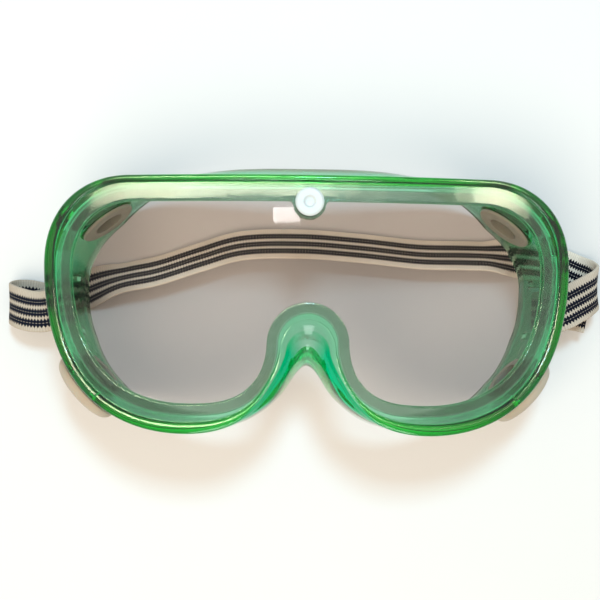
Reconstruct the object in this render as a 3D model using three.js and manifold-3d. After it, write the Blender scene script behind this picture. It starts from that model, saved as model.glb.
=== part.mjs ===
// Chemical-splash safety goggles: a soft moulded frame that grips a bent clear lens between two lips,
// a press-stud that pins the lens at the brow, four capped indirect vents and an elastic headband.
// Millimetres. The goggles lie lens up on a table: +Z points out of the lens, +Y to the brow,
// +X to the right. The origin is on the table under the middle of the goggles.

import * as THREE from "three";
import { mergeVertices } from "three/addons/utils/BufferGeometryUtils.js";
import Module from "manifold-3d";

const wasm = await Module();
wasm.setup();

// ---- Driving dimensions ----

const FRONT_HEIGHT = 58; // crest of the rim bead above the table, at the middle
const FRONT_RADIUS = 230; // bend of the lens and of the frame's front about the vertical
const BROW_HEIGHT = 28; // back edge above the table, at the middle of the forehead
const FACE_HALF_SPAN = 66; // half the width at which the back edge reaches the table
const NOSE_RISE = 10; // extra height of the back edge over the nose
const NOSE_SPREAD = 12;
const SIDE_RECESS = { y: 9.5, halfLength: 21.5, rise: 4 }; // arch in the back edge at each side

const WALL = 2.6;
const EDGE_THICKNESS = 3.2; // thickened edge that touches the face
const EDGE_ROUND = 0.6;
const BEAD_HEIGHT = 1; // rim bead above the front lip
const LIP = 1.4; // front lip
const GROOVE = 2; // slot for the lens between the lips
const REAR_LIP = 1.6;
const LENS = 1.5;
const LENS_PLAY = 0.25; // each side of the lens in its groove
const LENS_GRIP = 3; // how far the lens goes into the groove
const GROOVE_PLAY = 0.5; // beyond the lens edge

const STUD = { y: 31.85, head: 4.4, stem: 1.7, hole: 2.1 };
const TONGUE_RADIUS = 5.2;
const TONGUE_ROOT = 8;

const VENT = { bore: 6.5, cap: 12.5, capHeight: 4.2 };
// Each vent's axis: its angle from +X, its tilt below the level, the distance of its boss's face
// from the middle measured along that angle, its shift across it, and its height.
const VENTS = {
  upper: { angle: 52, tilt: 6, reach: 70, shift: -35.6, height: 21 },
  lower: { angle: -40.5, tilt: 3, reach: 72.3, shift: 26.2, height: 22 },
};
Object.assign(VENTS.upper, { depth: 7, boss: 10.2, flange: 9.6 }); // depth and radius of the boss,
Object.assign(VENTS.lower, { depth: 5.8, boss: 9.4, flange: 7.8 }); // radius of the retainer's flange

const LUG = { y: -0.6, z: 12, bar: 82.6, out: 85, barHeight: 3.6, opening: 16, post: 2.6 };
LUG.lowerFoot = 75.4; // where its posts start, in the thickness of the wall
LUG.upperFoot = 77.6;
const BAND = { width: 14, thickness: 1.2, lean: 42, leansTo: 62, flatFrom: 78 };

const STATIONS = [5, 8, 12, 9, 4, 4]; // steps along each stretch of half an outline
const GAP = 0.3; // between pieces that touch
const MIDDLE = 2.65; // the outlines below are drawn this much above the middle of the goggles

// ---- Surfaces ----

const frontHeight = (x) => FRONT_HEIGHT - FRONT_RADIUS + Math.sqrt(FRONT_RADIUS ** 2 - x * x);

function backHeight(x, y) {
  const radius = (FACE_HALF_SPAN ** 2 + BROW_HEIGHT ** 2) / (2 * BROW_HEIGHT);
  const face = Math.sqrt(radius ** 2 - x * x) - radius + BROW_HEIGHT;
  const nose = y < 0 ? NOSE_RISE * Math.exp(-((x / NOSE_SPREAD) ** 2)) : 0;
  const along = Math.min(1, Math.abs(y - SIDE_RECESS.y) / SIDE_RECESS.halfLength);
  const side = SIDE_RECESS.rise * (1 - along ** 4);
  return Math.max(0, face + nose, side);
}

// ---- Outlines ----

// Half an outline, from the top centre round the right side to the nose, as points
// [x, y, heading in degrees, pull leaving, pull arriving]. Each stretch is a cubic curve whose
// handles are the pulls times its chord.
function outline(nodes) {
  const half = [];
  for (let i = 1; i < nodes.length; i++) {
    const [x0, y0, from] = nodes[i - 1];
    const [x1, y1, to, leave, arrive] = nodes[i];
    const start = new THREE.Vector2(x0, y0);
    const end = new THREE.Vector2(x1, y1);
    const chord = start.distanceTo(end);
    const handle = (degrees, length) => {
      const angle = THREE.MathUtils.degToRad(degrees);
      return new THREE.Vector2(Math.cos(angle), Math.sin(angle)).multiplyScalar(length);
    };
    const curve = new THREE.CubicBezierCurve(
      start,
      start.clone().add(handle(from, leave * chord)),
      end.clone().sub(handle(to, arrive * chord)),
      end,
    );
    half.push(...curve.getPoints(STATIONS[i - 1]).slice(i === 1 ? 0 : 1));
  }
  const mirrored = half.slice(1, -1).reverse().map((p) => new THREE.Vector2(-p.x, p.y));
  return [...half, ...mirrored];
}

// Nodes: top centre, corner, side, lobe, flank of the nose, side of the nose, bridge.
const RIM = outline([
  [0, 40.1, 0],
  [56, 40.1, 0, 0.33, 0.33],
  [83.5, 13, -90, 0.42, 0.43],
  [38.5, -39.4, -180, 0.51, 0.37],
  [10.9, -25, -240, 0.34, 0.43],
  [5.4, -14, -260, 0.34, 0.22],
  [0, -10, -180, 0.4, 0.4],
]);
const BEAD = outline([
  [0, 38, 0],
  [55.5, 38, 0, 0.33, 0.33],
  [79.9, 13, -90, 0.42, 0.43],
  [38.5, -35.9, -180, 0.53, 0.38],
  [12.8, -24, -240, 0.34, 0.43],
  [8.6, -13, -266, 0.34, 0.3],
  [0, -3.9, -180, 0.39, 0.39],
]);
const OPENING = outline([
  [0, 32.3, 0],
  [54, 32.3, 0, 0.33, 0.33],
  [74.6, 12, -90, 0.42, 0.43],
  [38, -30.4, -180, 0.53, 0.37],
  [15.2, -21.5, -238, 0.41, 0.39],
  [12.6, -11.5, -270, 0.3, 0.3],
  [0, 1.3, -180, 0.39, 0.39],
]);
const BACK = outline([
  [0, 45.7, 0],
  [48, 41.4, -18, 0.33, 0.33],
  [78.5, 7, -90, 0.29, 0.34],
  [34, -40.4, -180, 0.5, 0.42],
  [9.2, -30, -225, 0.46, 0.38],
  [4, -22.6, -236, 0.34, 0.34],
  [0, -19, -180, 0.33, 0.26],
]);

// A value given at each of an outline's seven points, eased between them round the whole outline.
function round(values) {
  const half = [values[0]];
  for (let i = 1; i < values.length; i++) {
    for (let k = 1; k <= STATIONS[i - 1]; k++) {
      const ease = THREE.MathUtils.smoothstep(k / STATIONS[i - 1], 0, 1);
      half.push(THREE.MathUtils.lerp(values[i - 1], values[i], ease));
    }
  }
  return [...half, ...half.slice(1, -1).reverse()];
}

const FLARE = round([4, 1.1, 1, 1.6, 0.25, 0.3, 0.45]); // 1 is a straight wall, more flares late
const BEAD_SHARE = round([1, 1, 1, 1, 1, 0.35, 0]); // the bead dies out over the nose
const BRIDGE_DROP = round([0, 0, 0, 0, 0.3, 2.6, 4.8]); // the rim dips over the nose
const BRIDGE_STEP = round([0, 0, 0, 0, 0, 0.5, 1]); // and steps down from the lip there

// Outward direction of an outline at each station.
function outward(points) {
  return points.map((_, i) => {
    const before = points[(i + points.length - 1) % points.length];
    const after = points[(i + 1) % points.length];
    return new THREE.Vector2(before.y - after.y, after.x - before.x).normalize();
  });
}

const RIM_OUTWARD = outward(RIM);
const OPENING_OUTWARD = outward(OPENING);

const moved = (point, direction, distance) => point.clone().addScaledVector(direction, distance);
const grown = (distance) => OPENING.map((p, i) => moved(p, OPENING_OUTWARD[i], distance));
const LENS_EDGE = grown(LENS_GRIP);
const GROOVE_FLOOR = grown(LENS_GRIP + GROOVE_PLAY);

// ---- Solids ----

function solid(geometry, matrix = new THREE.Matrix4()) {
  const plain = geometry.clone().applyMatrix4(matrix);
  plain.deleteAttribute("normal");
  plain.deleteAttribute("uv");
  const merged = mergeVertices(plain, 1e-4);
  return new wasm.Manifold(
    new wasm.Mesh({
      numProp: 3,
      vertProperties: merged.getAttribute("position").array,
      triVerts: new Uint32Array(merged.index.array),
    }),
  );
}

function geometryOf(made) {
  const mesh = made.getMesh();
  return new THREE.BufferGeometry()
    .setAttribute("position", new THREE.BufferAttribute(mesh.vertProperties, 3))
    .setIndex(new THREE.BufferAttribute(mesh.triVerts, 1));
}

// A closed tube through rings that are themselves closed, each ring with the same number of points.
function ringLoft(rings) {
  const around = rings[0].length;
  const index = [];
  rings.forEach((_, i) => {
    const next = (i + 1) % rings.length;
    for (let j = 0; j < around; j++) {
      const k = (j + 1) % around;
      const corners = [i * around + j, next * around + j, next * around + k, i * around + k];
      index.push(corners[0], corners[1], corners[2], corners[0], corners[2], corners[3]);
    }
  });
  const positions = rings.flat().flatMap((p) => p.toArray());
  return new THREE.BufferGeometry()
    .setAttribute("position", new THREE.Float32BufferAttribute(positions, 3))
    .setIndex(index);
}

const box = (low, high) => {
  const size = high.map((v, i) => v - low[i]);
  const geometry = new THREE.BoxGeometry(...size);
  return geometry.translate(...low.map((v, i) => v + size[i] / 2));
};

// A turned piece along +Z from [radius, height] points, listed from its bottom out and up to its top,
// that start and end on the axis or close.
function turned(points, sides) {
  const profile = points.map(([r, z]) => new THREE.Vector2(r, z));
  return new THREE.LatheGeometry(profile, sides).rotateX(Math.PI / 2);
}

const disc = (radius, low, high, sides) =>
  turned([[0, low], [radius, low], [radius, high], [0, high]], sides);

// ---- Frame ----

// One station of the frame's section: front lip, bead, wall, face edge, rear lip and groove.
function frameSection(i) {
  const at = (point, drop) => new THREE.Vector3(point.x, point.y, frontHeight(point.x) - drop);
  const across = (share) => BEAD[i].clone().lerp(RIM[i], share);
  const chamfer = moved(OPENING[i], OPENING_OUTWARD[i], 0.4);
  const crest = BEAD_HEIGHT * BEAD_SHARE[i];
  const dip = BRIDGE_DROP[i];
  const step = BRIDGE_STEP[i];
  const slide = dip - step;
  const lipTop = BEAD_HEIGHT;
  const lipBack = lipTop + LIP;
  const rearTop = lipBack + GROOVE;
  const rearBack = rearTop + REAR_LIP;

  const rimEdge = at(RIM[i], lipTop + 0.6 + dip);
  const foot = backHeight(BACK[i].x, BACK[i].y);
  const wall = (share, inset) => {
    const plan = moved(RIM[i].clone().lerp(BACK[i], share ** FLARE[i]), RIM_OUTWARD[i], -inset);
    const height = THREE.MathUtils.lerp(rimEdge.z, foot + EDGE_ROUND, share);
    return new THREE.Vector3(plan.x, plan.y, height);
  };
  const outer = [0.05, 0.2, 0.4, 0.6, 0.8, 0.92, 1].map((share) => wall(share, 0));
  const inner = [1, 0.92, 0.8, 0.6, 0.4].map((share) =>
    wall(share, THREE.MathUtils.lerp(WALL, EDGE_THICKNESS, share ** 4)),
  );
  const under = [EDGE_ROUND, EDGE_THICKNESS - EDGE_ROUND].map((inset) => {
    const plan = moved(BACK[i], RIM_OUTWARD[i], -inset);
    return new THREE.Vector3(plan.x, plan.y, foot);
  });
  const corner = wall(0.2, WALL);
  corner.z = frontHeight(corner.x) - rearBack - dip * 0.6;

  return [
    at(OPENING[i], lipBack - 0.4),
    at(OPENING[i], lipTop + 0.4),
    at(chamfer, lipTop),
    at(BEAD[i], lipTop),
    at(across(0.05), lipTop + step),
    at(across(0.25), lipTop - 0.8 * crest + step + 0.05 * slide),
    at(across(0.55), lipTop - crest + step + 0.25 * slide),
    at(across(0.88), lipTop - 0.6 * crest + step + 0.7 * slide),
    rimEdge,
    ...outer,
    ...under,
    ...inner,
    corner,
    at(chamfer, rearBack),
    at(OPENING[i], rearBack - 0.4),
    at(OPENING[i], rearTop + 0.4),
    at(chamfer, rearTop),
    at(GROOVE_FLOOR[i], rearTop),
    at(GROOVE_FLOOR[i], lipBack),
    at(chamfer, lipBack),
  ];
}

// The rounded tongue that hangs from a lip round the press-stud, between two depths below the crest.
function tongue(shallow, deep) {
  const side = Math.PI / 8;
  const root = 32.6;
  const shape = new THREE.Shape();
  const onCircle = (angle) => [
    TONGUE_RADIUS * Math.cos(angle),
    STUD.y + TONGUE_RADIUS * Math.sin(angle),
  ];
  const [x, y] = onCircle(-side);
  shape.moveTo(-TONGUE_ROOT, root + 1);
  shape.lineTo(-TONGUE_ROOT, root);
  shape.quadraticCurveTo(-x, root, -x, y);
  shape.absarc(0, STUD.y, TONGUE_RADIUS, Math.PI + side, -side, false);
  shape.quadraticCurveTo(x, root, TONGUE_ROOT, root);
  shape.lineTo(TONGUE_ROOT, root + 1);
  const settings = { depth: deep - shallow, bevelEnabled: false, curveSegments: 8 };
  return new THREE.ExtrudeGeometry(shape, settings).translate(0, 0, FRONT_HEIGHT - deep);
}

// A loop on the right side wall that the headband is threaded through.
function lug() {
  const low = LUG.z - LUG.barHeight / 2;
  const high = LUG.z + LUG.barHeight / 2;
  const reach = LUG.opening / 2 + LUG.post;
  const bar = box([LUG.bar, LUG.y - reach, low], [LUG.out, LUG.y + reach, high]);
  const post = (y, foot) => box([foot, y, low], [LUG.out, y + LUG.post, high]);
  return solid(bar)
    .add(solid(post(LUG.y - reach, LUG.lowerFoot)))
    .add(solid(post(LUG.y + LUG.opening / 2, LUG.upperFoot)));
}

// From a vent's own axes (Z out of the wall, origin at the face of its boss) to the frame's.
function ventPlace({ angle, tilt, reach, shift, height, ...sizes }, side) {
  const turn = THREE.MathUtils.degToRad(side > 0 ? angle : 180 - angle);
  const level = new THREE.Vector3(Math.cos(turn), Math.sin(turn), 0);
  const across = new THREE.Vector3(-level.y, level.x, 0);
  const out = level.clone().applyAxisAngle(across, THREE.MathUtils.degToRad(tilt));
  const up = new THREE.Vector3().crossVectors(out, across);
  const basis = new THREE.Matrix4().makeBasis(across, up, out);
  const centre = level.multiplyScalar(reach).addScaledVector(across, side * shift);
  centre.z = height;
  return { ...sizes, basis, centre, matrix: basis.clone().setPosition(centre) };
}

const VENT_PLACES = Object.entries(VENTS).flatMap(([level, vent]) =>
  [["right", 1], ["left", -1]].map(([hand, side]) => ({
    name: level + "_" + hand,
    ...ventPlace(vent, side),
  })),
);

function frame() {
  let made = solid(ringLoft(RIM.map((_, i) => frameSection(i))));
  const lipBack = BEAD_HEIGHT + LIP;
  const rearTop = lipBack + GROOVE;
  made = made
    .add(solid(tongue(BEAD_HEIGHT + 0.04, lipBack - 0.04)))
    .add(solid(tongue(rearTop + 0.04, rearTop + REAR_LIP - 0.04)))
    .subtract(solid(disc(STUD.hole, 40, 60, 24), new THREE.Matrix4().makeTranslation(0, STUD.y, 0)));
  const rightLug = lug();
  made = made.add(rightLug).add(rightLug.mirror([1, 0, 0]));
  for (const { matrix, boss, depth } of VENT_PLACES) {
    made = made
      .add(solid(disc(boss, -depth, 0, 32), matrix))
      .subtract(solid(disc(VENT.bore, -depth - 4, 4, 32), matrix));
  }
  return geometryOf(made);
}

// ---- Lens ----

function lens() {
  const top = BEAD_HEIGHT + LIP + LENS_PLAY;
  const steps = 40;
  const reach = 84;
  const profile = [];
  for (let k = 0; k <= steps; k++) {
    const x = THREE.MathUtils.lerp(-reach, reach, k / steps);
    profile.push(new THREE.Vector2(x, frontHeight(x) - top));
  }
  const behind = profile.map((p) => new THREE.Vector2(p.x, p.y - LENS)).reverse();
  const sheet = new THREE.ExtrudeGeometry(new THREE.Shape([...profile, ...behind]), {
    depth: 100,
    bevelEnabled: false,
  });
  sheet.rotateX(Math.PI / 2).translate(0, 50, 0);
  const cutter = new THREE.ExtrudeGeometry(new THREE.Shape(LENS_EDGE), {
    depth: 40,
    bevelEnabled: false,
  });
  cutter.translate(0, 0, 30);
  const hole = disc(STUD.hole, 40, 60, 24).translate(0, STUD.y, 0);
  return geometryOf(solid(sheet).intersect(solid(cutter)).subtract(solid(hole)));
}

// ---- Press-stud ----

const LIP_TOP = FRONT_HEIGHT - BEAD_HEIGHT;
const REAR_FACE = LIP_TOP - LIP - GROOVE - REAR_LIP;

function studCap() {
  const under = LIP_TOP + GAP;
  const top = under + 1.2;
  return turned(
    [
      [0, REAR_FACE - 2.4],
      [STUD.stem - 0.4, REAR_FACE - 2.4],
      [STUD.stem, REAR_FACE - 1.8],
      [STUD.stem, under],
      [STUD.head, under],
      [STUD.head, top - 0.5],
      [STUD.head - 0.7, top],
      [1.9, top],
      [1.4, top - 0.6],
      [0, top - 0.7],
    ],
    32,
  );
}

function studSocket() {
  const top = REAR_FACE - GAP;
  const low = top - 1.8;
  return turned(
    [[STUD.hole, low], [3.9, low], [4.3, low + 0.5], [4.3, top], [STUD.hole, top], [STUD.hole, low]],
    32,
  );
}

// ---- Vents, each along its own +Z ----

function ventCap() {
  const skirt = 0.2;
  const top = VENT.capHeight;
  return turned(
    [
      [0, -2.4],
      [1.6, -2.4],
      [1.6, top - 1.4],
      [VENT.cap - 2, top - 1.4],
      [VENT.cap - 1.5, top - 2.1],
      [VENT.cap - 1.5, skirt],
      [VENT.cap, skirt],
      [VENT.cap, top - 2.6],
      [VENT.cap - 0.9, top - 1.2],
      [VENT.cap - 3, top - 0.3],
      [VENT.cap - 5, top],
      [0, top],
    ],
    32,
  );
}

function ventRetainer(depth, flange) {
  const seat = -depth - GAP;
  const tube = VENT.bore - GAP;
  const ring = turned(
    [
      [tube - 1.2, seat - 1],
      [flange - 0.4, seat - 1],
      [flange, seat - 0.6],
      [flange, seat],
      [tube, seat],
      [tube, 1.2],
      [tube - 1.2, 1.2],
      [tube - 1.2, seat - 1],
    ],
    32,
  );
  const hub = disc(3, -5.4, 1.2, 20);
  const socket = disc(1.6 + GAP, -3, 2, 20);
  let made = solid(ring).add(solid(hub));
  const bars = 3;
  for (let k = 0; k < bars; k++) {
    const bar = box([-tube + 0.6, -0.6, -5.4], [tube - 0.6, 0.6, -4]).rotateZ((Math.PI * k) / bars);
    made = made.add(solid(bar));
  }
  return geometryOf(made.subtract(solid(socket)));
}

// ---- Headband ----

// The band's middle line, from the tail of its left end to the tail of its right end: in through each
// lug from below, over the bar, out to the fold, back under the side wall and across. Behind the
// lens it leans, its lower edge raised.
const BAND_ROUTE = [
  [-94, -2.6, 6.2],
  [-90, -2.1, 7.8],
  [-86, -1.6, 8.3],
  [-82, -1.3, 8.9],
  [-80.6, -1.2, 12],
  [-82, -1.3, 15.1],
  [-85.2, -1.9, 15.6],
  [-89.5, -2.8, 15],
  [-94.5, -2.5, 13.8],
  [-99, -1.3, 11.4],
  [-101.9, 0, 7],
  [-100.4, 1.2, 2.8],
  [-96.6, 1.2, 1.1],
  [-92.5, 0.4, 1],
  [-88.5, 0.2, 1],
  [-84.5, 1.6, 1],
  [-80.5, 3.6, 1.1],
  [-76.5, 5.3, 1.5],
  [-72, 6.9, 3.2],
  [-67, 8.4, 4.9],
  [-61.2, 9.8, 5.7],
  [-51.7, 11.8, 6],
  [-36.7, 16.7, 7],
  [-22.8, 20.8, 7.6],
  [-1.9, 21.8, 7.6],
  [19.1, 20.6, 7],
  [40.3, 18.7, 6],
  [54.4, 18.6, 5.6],
  [62, 18.5, 5.6],
  [68.7, 18.3, 4.2],
  [73, 18.2, 2.2],
  [77, 17.9, 1.1],
  [85.5, 16.6, 1],
  [91, 14.6, 1.3],
  [96, 12.4, 2.1],
  [99.6, 10.8, 4.6],
  [101.2, 9, 8.8],
  [100, 6.9, 12.6],
  [96.4, 4.6, 15.2],
  [92, 2.2, 16.2],
  [88.4, 0.2, 16.3],
  [85.2, -1.1, 15.6],
  [82, -1.3, 15.1],
  [80.6, -1.2, 12],
  [82, -1, 8.9],
  [86, -0.6, 8.3],
  [90.4, -0.1, 8.1],
  [95, -0.4, 8],
  [99, -1.2, 7.8],
];
const BAND_STEPS = 120;

function headband() {
  const points = BAND_ROUTE.map((p) => new THREE.Vector3(...p));
  const route = new THREE.CatmullRomCurve3(points, false, "centripetal");
  const up = new THREE.Vector3(0, 1, 0);
  const rings = [];
  for (let k = 0; k <= BAND_STEPS; k++) {
    const centre = route.getPointAt(k / BAND_STEPS);
    const along = route.getTangentAt(k / BAND_STEPS);
    const across = up.clone().addScaledVector(along, -up.dot(along)).normalize();
    const flat = THREE.MathUtils.smoothstep(Math.abs(centre.x), BAND.leansTo, BAND.flatFrom);
    across.applyAxisAngle(along, -THREE.MathUtils.degToRad(BAND.lean * (1 - flat)));
    const through = new THREE.Vector3().crossVectors(along, across);
    const corner = (a, b) =>
      centre
        .clone()
        .addScaledVector(across, (a * BAND.width) / 2)
        .addScaledVector(through, (b * BAND.thickness) / 2);
    rings.push([corner(-1, -1), corner(1, -1), corner(1, 1), corner(-1, 1)]);
  }
  return openLoft(rings);
}

// A tube through open-ended rings, closed by a flat end at each side.
function openLoft(rings) {
  const around = rings[0].length;
  const index = [];
  for (let i = 0; i + 1 < rings.length; i++) {
    for (let j = 0; j < around; j++) {
      const k = (j + 1) % around;
      const [a, b] = [i * around, (i + 1) * around];
      index.push(a + j, b + k, b + j, a + j, a + k, b + k);
    }
  }
  const last = (rings.length - 1) * around;
  for (let j = 1; j + 1 < around; j++) {
    index.push(0, j + 1, j);
    index.push(last, last + j, last + j + 1);
  }
  const positions = rings.flat().flatMap((p) => p.toArray());
  return new THREE.BufferGeometry()
    .setAttribute("position", new THREE.Float32BufferAttribute(positions, 3))
    .setIndex(index);
}

// ---- Materials ----

const MATERIALS = {
  pvc: { color: 0x1c8f4c, roughness: 0.25, metalness: 0, transparent: true, opacity: 0.7 },
  polycarbonate: { color: 0xe8f2ee, roughness: 0.05, metalness: 0, transparent: true, opacity: 0.2 },
  white: { color: 0xf2f4f2, roughness: 0.3, metalness: 0 },
  tan: { color: 0xb7a28a, roughness: 0.45, metalness: 0 },
  elastic: { color: 0xd2c6b2, roughness: 0.9, metalness: 0 },
};

// ---- Assembly ----

const goggles = new THREE.Group();

function add(name, geometry, material, parent = goggles) {
  const mesh = new THREE.Mesh(geometry, new THREE.MeshStandardMaterial(MATERIALS[material]));
  mesh.name = name;
  parent.add(mesh);
  return mesh;
}

add("frame", frame(), "pvc");
add("lens", lens(), "polycarbonate");
add("headband", headband(), "elastic");

const stud = new THREE.Group();
stud.position.y = STUD.y;
goggles.add(stud);
add("lens_stud", studCap(), "white", stud);
add("lens_stud_socket", studSocket(), "white", stud);

for (const { name, basis, centre, depth, flange } of VENT_PLACES) {
  const vent = new THREE.Group();
  vent.quaternion.setFromRotationMatrix(basis);
  vent.position.copy(centre);
  goggles.add(vent);
  add("vent_cap_" + name, ventCap(), "tan", vent);
  add("vent_retainer_" + name, ventRetainer(depth, flange), "tan", vent);
}

goggles.position.y = -MIDDLE;

export default goggles;
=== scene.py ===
"""Safety goggles: the looks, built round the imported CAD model.

Shapes are worked out in millimetres, as drawn round the middle of the lens, and placed in the row
frame in metres.
"""

import math

import bmesh
import bpy
import numpy as np
from mathutils import Matrix, Vector

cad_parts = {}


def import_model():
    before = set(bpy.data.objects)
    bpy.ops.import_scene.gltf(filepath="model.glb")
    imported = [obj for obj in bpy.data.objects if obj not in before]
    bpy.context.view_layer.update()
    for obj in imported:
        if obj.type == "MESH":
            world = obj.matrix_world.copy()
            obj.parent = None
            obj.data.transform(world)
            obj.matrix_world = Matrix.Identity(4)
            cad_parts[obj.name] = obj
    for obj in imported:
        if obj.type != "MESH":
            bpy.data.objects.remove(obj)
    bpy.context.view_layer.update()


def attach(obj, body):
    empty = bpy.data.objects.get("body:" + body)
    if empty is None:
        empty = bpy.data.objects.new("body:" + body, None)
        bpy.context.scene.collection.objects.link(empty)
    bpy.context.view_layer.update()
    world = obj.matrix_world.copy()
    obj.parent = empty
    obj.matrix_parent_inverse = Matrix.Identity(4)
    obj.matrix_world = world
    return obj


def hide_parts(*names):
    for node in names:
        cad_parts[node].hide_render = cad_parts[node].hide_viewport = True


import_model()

MM = 0.001

# ---- Sizes of the CAD model, in millimetres ----

FRONT_HEIGHT = 58
FRONT_RADIUS = 230
BROW_HEIGHT = 28
FACE_HALF_SPAN = 66
NOSE_RISE = 10
NOSE_SPREAD = 12
SIDE_RECESS_Y, SIDE_RECESS_HALF, SIDE_RECESS_RISE = 9.5, 21.5, 4
WALL = 2.6
EDGE_THICKNESS = 3.2
EDGE_ROUND = 0.6
BEAD_HEIGHT = 1
LIP = 1.4
GROOVE = 2
REAR_LIP = 1.6
LENS = 1.5
LENS_PLAY = 0.25
LENS_GRIP = 3
GROOVE_PLAY = 0.5
STUD_Y, STUD_HEAD, STUD_STEM, STUD_HOLE = 31.85, 4.4, 1.7, 2.1
TONGUE_RADIUS, TONGUE_ROOT = 5.2, 8
BORE, CAP, CAP_HEIGHT = 6.5, 12.5, 4.2
VENTS = {
    "upper": {"angle": 52, "tilt": 6, "reach": 70, "shift": -35.6, "height": 21},
    "lower": {"angle": -40.5, "tilt": 3, "reach": 72.3, "shift": 26.2, "height": 22},
}
BOSS_DEPTH = {"upper": 7, "lower": 5.8}
BOSS = {"upper": 10.2, "lower": 9.4}
RETAINER = {"upper": 9.6, "lower": 7.8}
LUG_Y, LUG_Z, LUG_BAR, LUG_OUT, LUG_HEIGHT, LUG_OPENING, LUG_POST = -0.6, 12, 82.6, 85, 3.6, 16, 2.6
LUG_LOWER_FOOT, LUG_UPPER_FOOT = 75.4, 77.6
BAND_WIDTH, BAND_THICKNESS = 14, 1.2
BAND_LEAN, BAND_LEANS_TO, BAND_FLAT_FROM = 42, 62, 78
GAP = 0.3
MIDDLE = 2.65  # the outlines are drawn this much above the middle of the goggles

INSERT_JOINTS = (11.8, 34.8)  # across the upper lip, the joints of an insert in the mould
STATIONS = [5, 8, 12, 9, 4, 4]  # steps along each stretch of half an outline in the CAD model
FINENESS = 6  # steps here for each of those


# ---- Materials ----


def material(name):
    """A new node material, its tree emptied, and its output node."""
    made = bpy.data.materials.new(name)
    made.use_nodes = True
    made.node_tree.nodes.clear()
    output = made.node_tree.nodes.new("ShaderNodeOutputMaterial")
    return made, made.node_tree, output


def feed(tree, socket, value):
    """Links a node's input to another node's output, or sets its value."""
    if isinstance(value, bpy.types.NodeSocket):
        tree.links.new(value, socket)
    else:
        socket.default_value = value


def input_socket(node, key):
    """A node's input by its name, spaces written as _, or by its place, written i0, i1 and so on."""
    if key[0] == "i" and key[1:].isdigit():
        return node.inputs[int(key[1:])]
    return node.inputs[key.replace("_", " ")]


def add_node(tree, kind, settings=None, **inputs):
    """A node of that kind, with its settings, and values or outputs for its inputs."""
    node = tree.nodes.new(kind)
    for key, value in (settings or {}).items():
        setattr(node, key, value)
    for key, value in inputs.items():
        feed(tree, input_socket(node, key), value)
    return node


def math_node(tree, operation, *values):
    """The result of a Math node on numbers or outputs."""
    inputs = {f"i{k}": value for k, value in enumerate(values)}
    return add_node(tree, "ShaderNodeMath", {"operation": operation}, **inputs).outputs[0]


def noise(tree, scale, detail, roughness):
    """Noise from 0 to 1, scale features to a metre."""
    node = add_node(tree, "ShaderNodeTexNoise", Scale=scale, Detail=detail, Roughness=roughness)
    place = add_node(tree, "ShaderNodeTexCoord").outputs["Object"]
    tree.links.new(place, node.inputs["Vector"])
    return node.outputs["Fac"]


def mapped(tree, value, low, high, to_low, to_high):
    """A value from low to high, stretched to run from to_low to to_high, and held there beyond."""
    node = add_node(tree, "ShaderNodeMapRange", None, Value=value)
    for key, number in zip(("From Min", "From Max", "To Min", "To Max"), (low, high, to_low, to_high)):
        node.inputs[key].default_value = number
    return node.outputs["Result"]


def mixed(tree, factor, a, b):
    """A mix of two colours."""
    node = add_node(tree, "ShaderNodeMix", {"data_type": "RGBA"}, i0=factor, i6=a, i7=b)
    return node.outputs[2]


def bump(tree, height, strength, distance):
    """A normal for a surface that height raises by up to distance metres."""
    node = add_node(tree, "ShaderNodeBump", Height=height, Strength=strength, Distance=distance)
    return node.outputs["Normal"]


def distance_from(tree, value, centre):
    """How far a value is from centre, either way."""
    return math_node(tree, "ABSOLUTE", math_node(tree, "SUBTRACT", value, centre))


PAINTED_DEPTH_MAP = "painted_depth"  # the frame's map of where it is painted a deeper green, 1 on its steep outer sides: painted shade standing in for light's long path through them
VINYL_PALE = ((0.67, 0.695, 0.675, 1), (0.75, 0.77, 0.745, 1))
# the painted deeper green of the outer sides: painted shade, laid by place
VINYL_PAINTED_DEPTH = (0.0, 0.66, 0.33, 1)
VINYL_PASSES = (0.0, 0.965, 0.56, 1)  # what is left of light that goes deep into it
VINYL_DENSITY = 185.0
VINYL_IOR = 1.42


def vinyl():
    """Clear green soft PVC: greener the deeper one looks into it, and painted a deeper green on its outer
    sides as painted shade, with faint flow marks and fine scuffs."""
    made, tree, output = material("green vinyl")
    cloud = noise(tree, 45, 3, 0.55)
    scuffs = noise(tree, 900, 2, 0.6)
    colour = mixed(tree, mapped(tree, cloud, 0.3, 0.7, 0, 1), *VINYL_PALE)
    # painted shade: the mesh map lays a deeper green on the outer sides, over what the absorption gives
    painted_depth = add_node(tree, "ShaderNodeAttribute", {"attribute_name": PAINTED_DEPTH_MAP}).outputs["Fac"]
    colour = mixed(tree, painted_depth, colour, VINYL_PAINTED_DEPTH)
    cloudy = mapped(tree, cloud, 0.3, 0.75, 0.06, 0.1)
    scuffed = mapped(tree, scuffs, 0.5, 0.8, 0, 0.04)
    rough = math_node(tree, "ADD", cloudy, scuffed)
    wave = noise(tree, 120, 1, 0.4)
    normal = bump(tree, wave, 0.05, 0.001)
    shader = add_node(
        tree, "ShaderNodeBsdfPrincipled", None, Base_Color=colour, Roughness=rough, IOR=VINYL_IOR,
        Transmission_Weight=0.97, Normal=normal,
    )
    depth = add_node(tree, "ShaderNodeVolumeAbsorption", Color=VINYL_PASSES, Density=VINYL_DENSITY)
    tree.links.new(depth.outputs[0], output.inputs["Volume"])
    tree.links.new(shader.outputs[0], output.inputs["Surface"])
    return made


# darker and warmer than clear polycarbonate: painted shade over all that is seen through the lens
LENS_TINT_AND_SHADE = (0.855, 0.828, 0.818, 1)
LENS_IOR = 1.36


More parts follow.
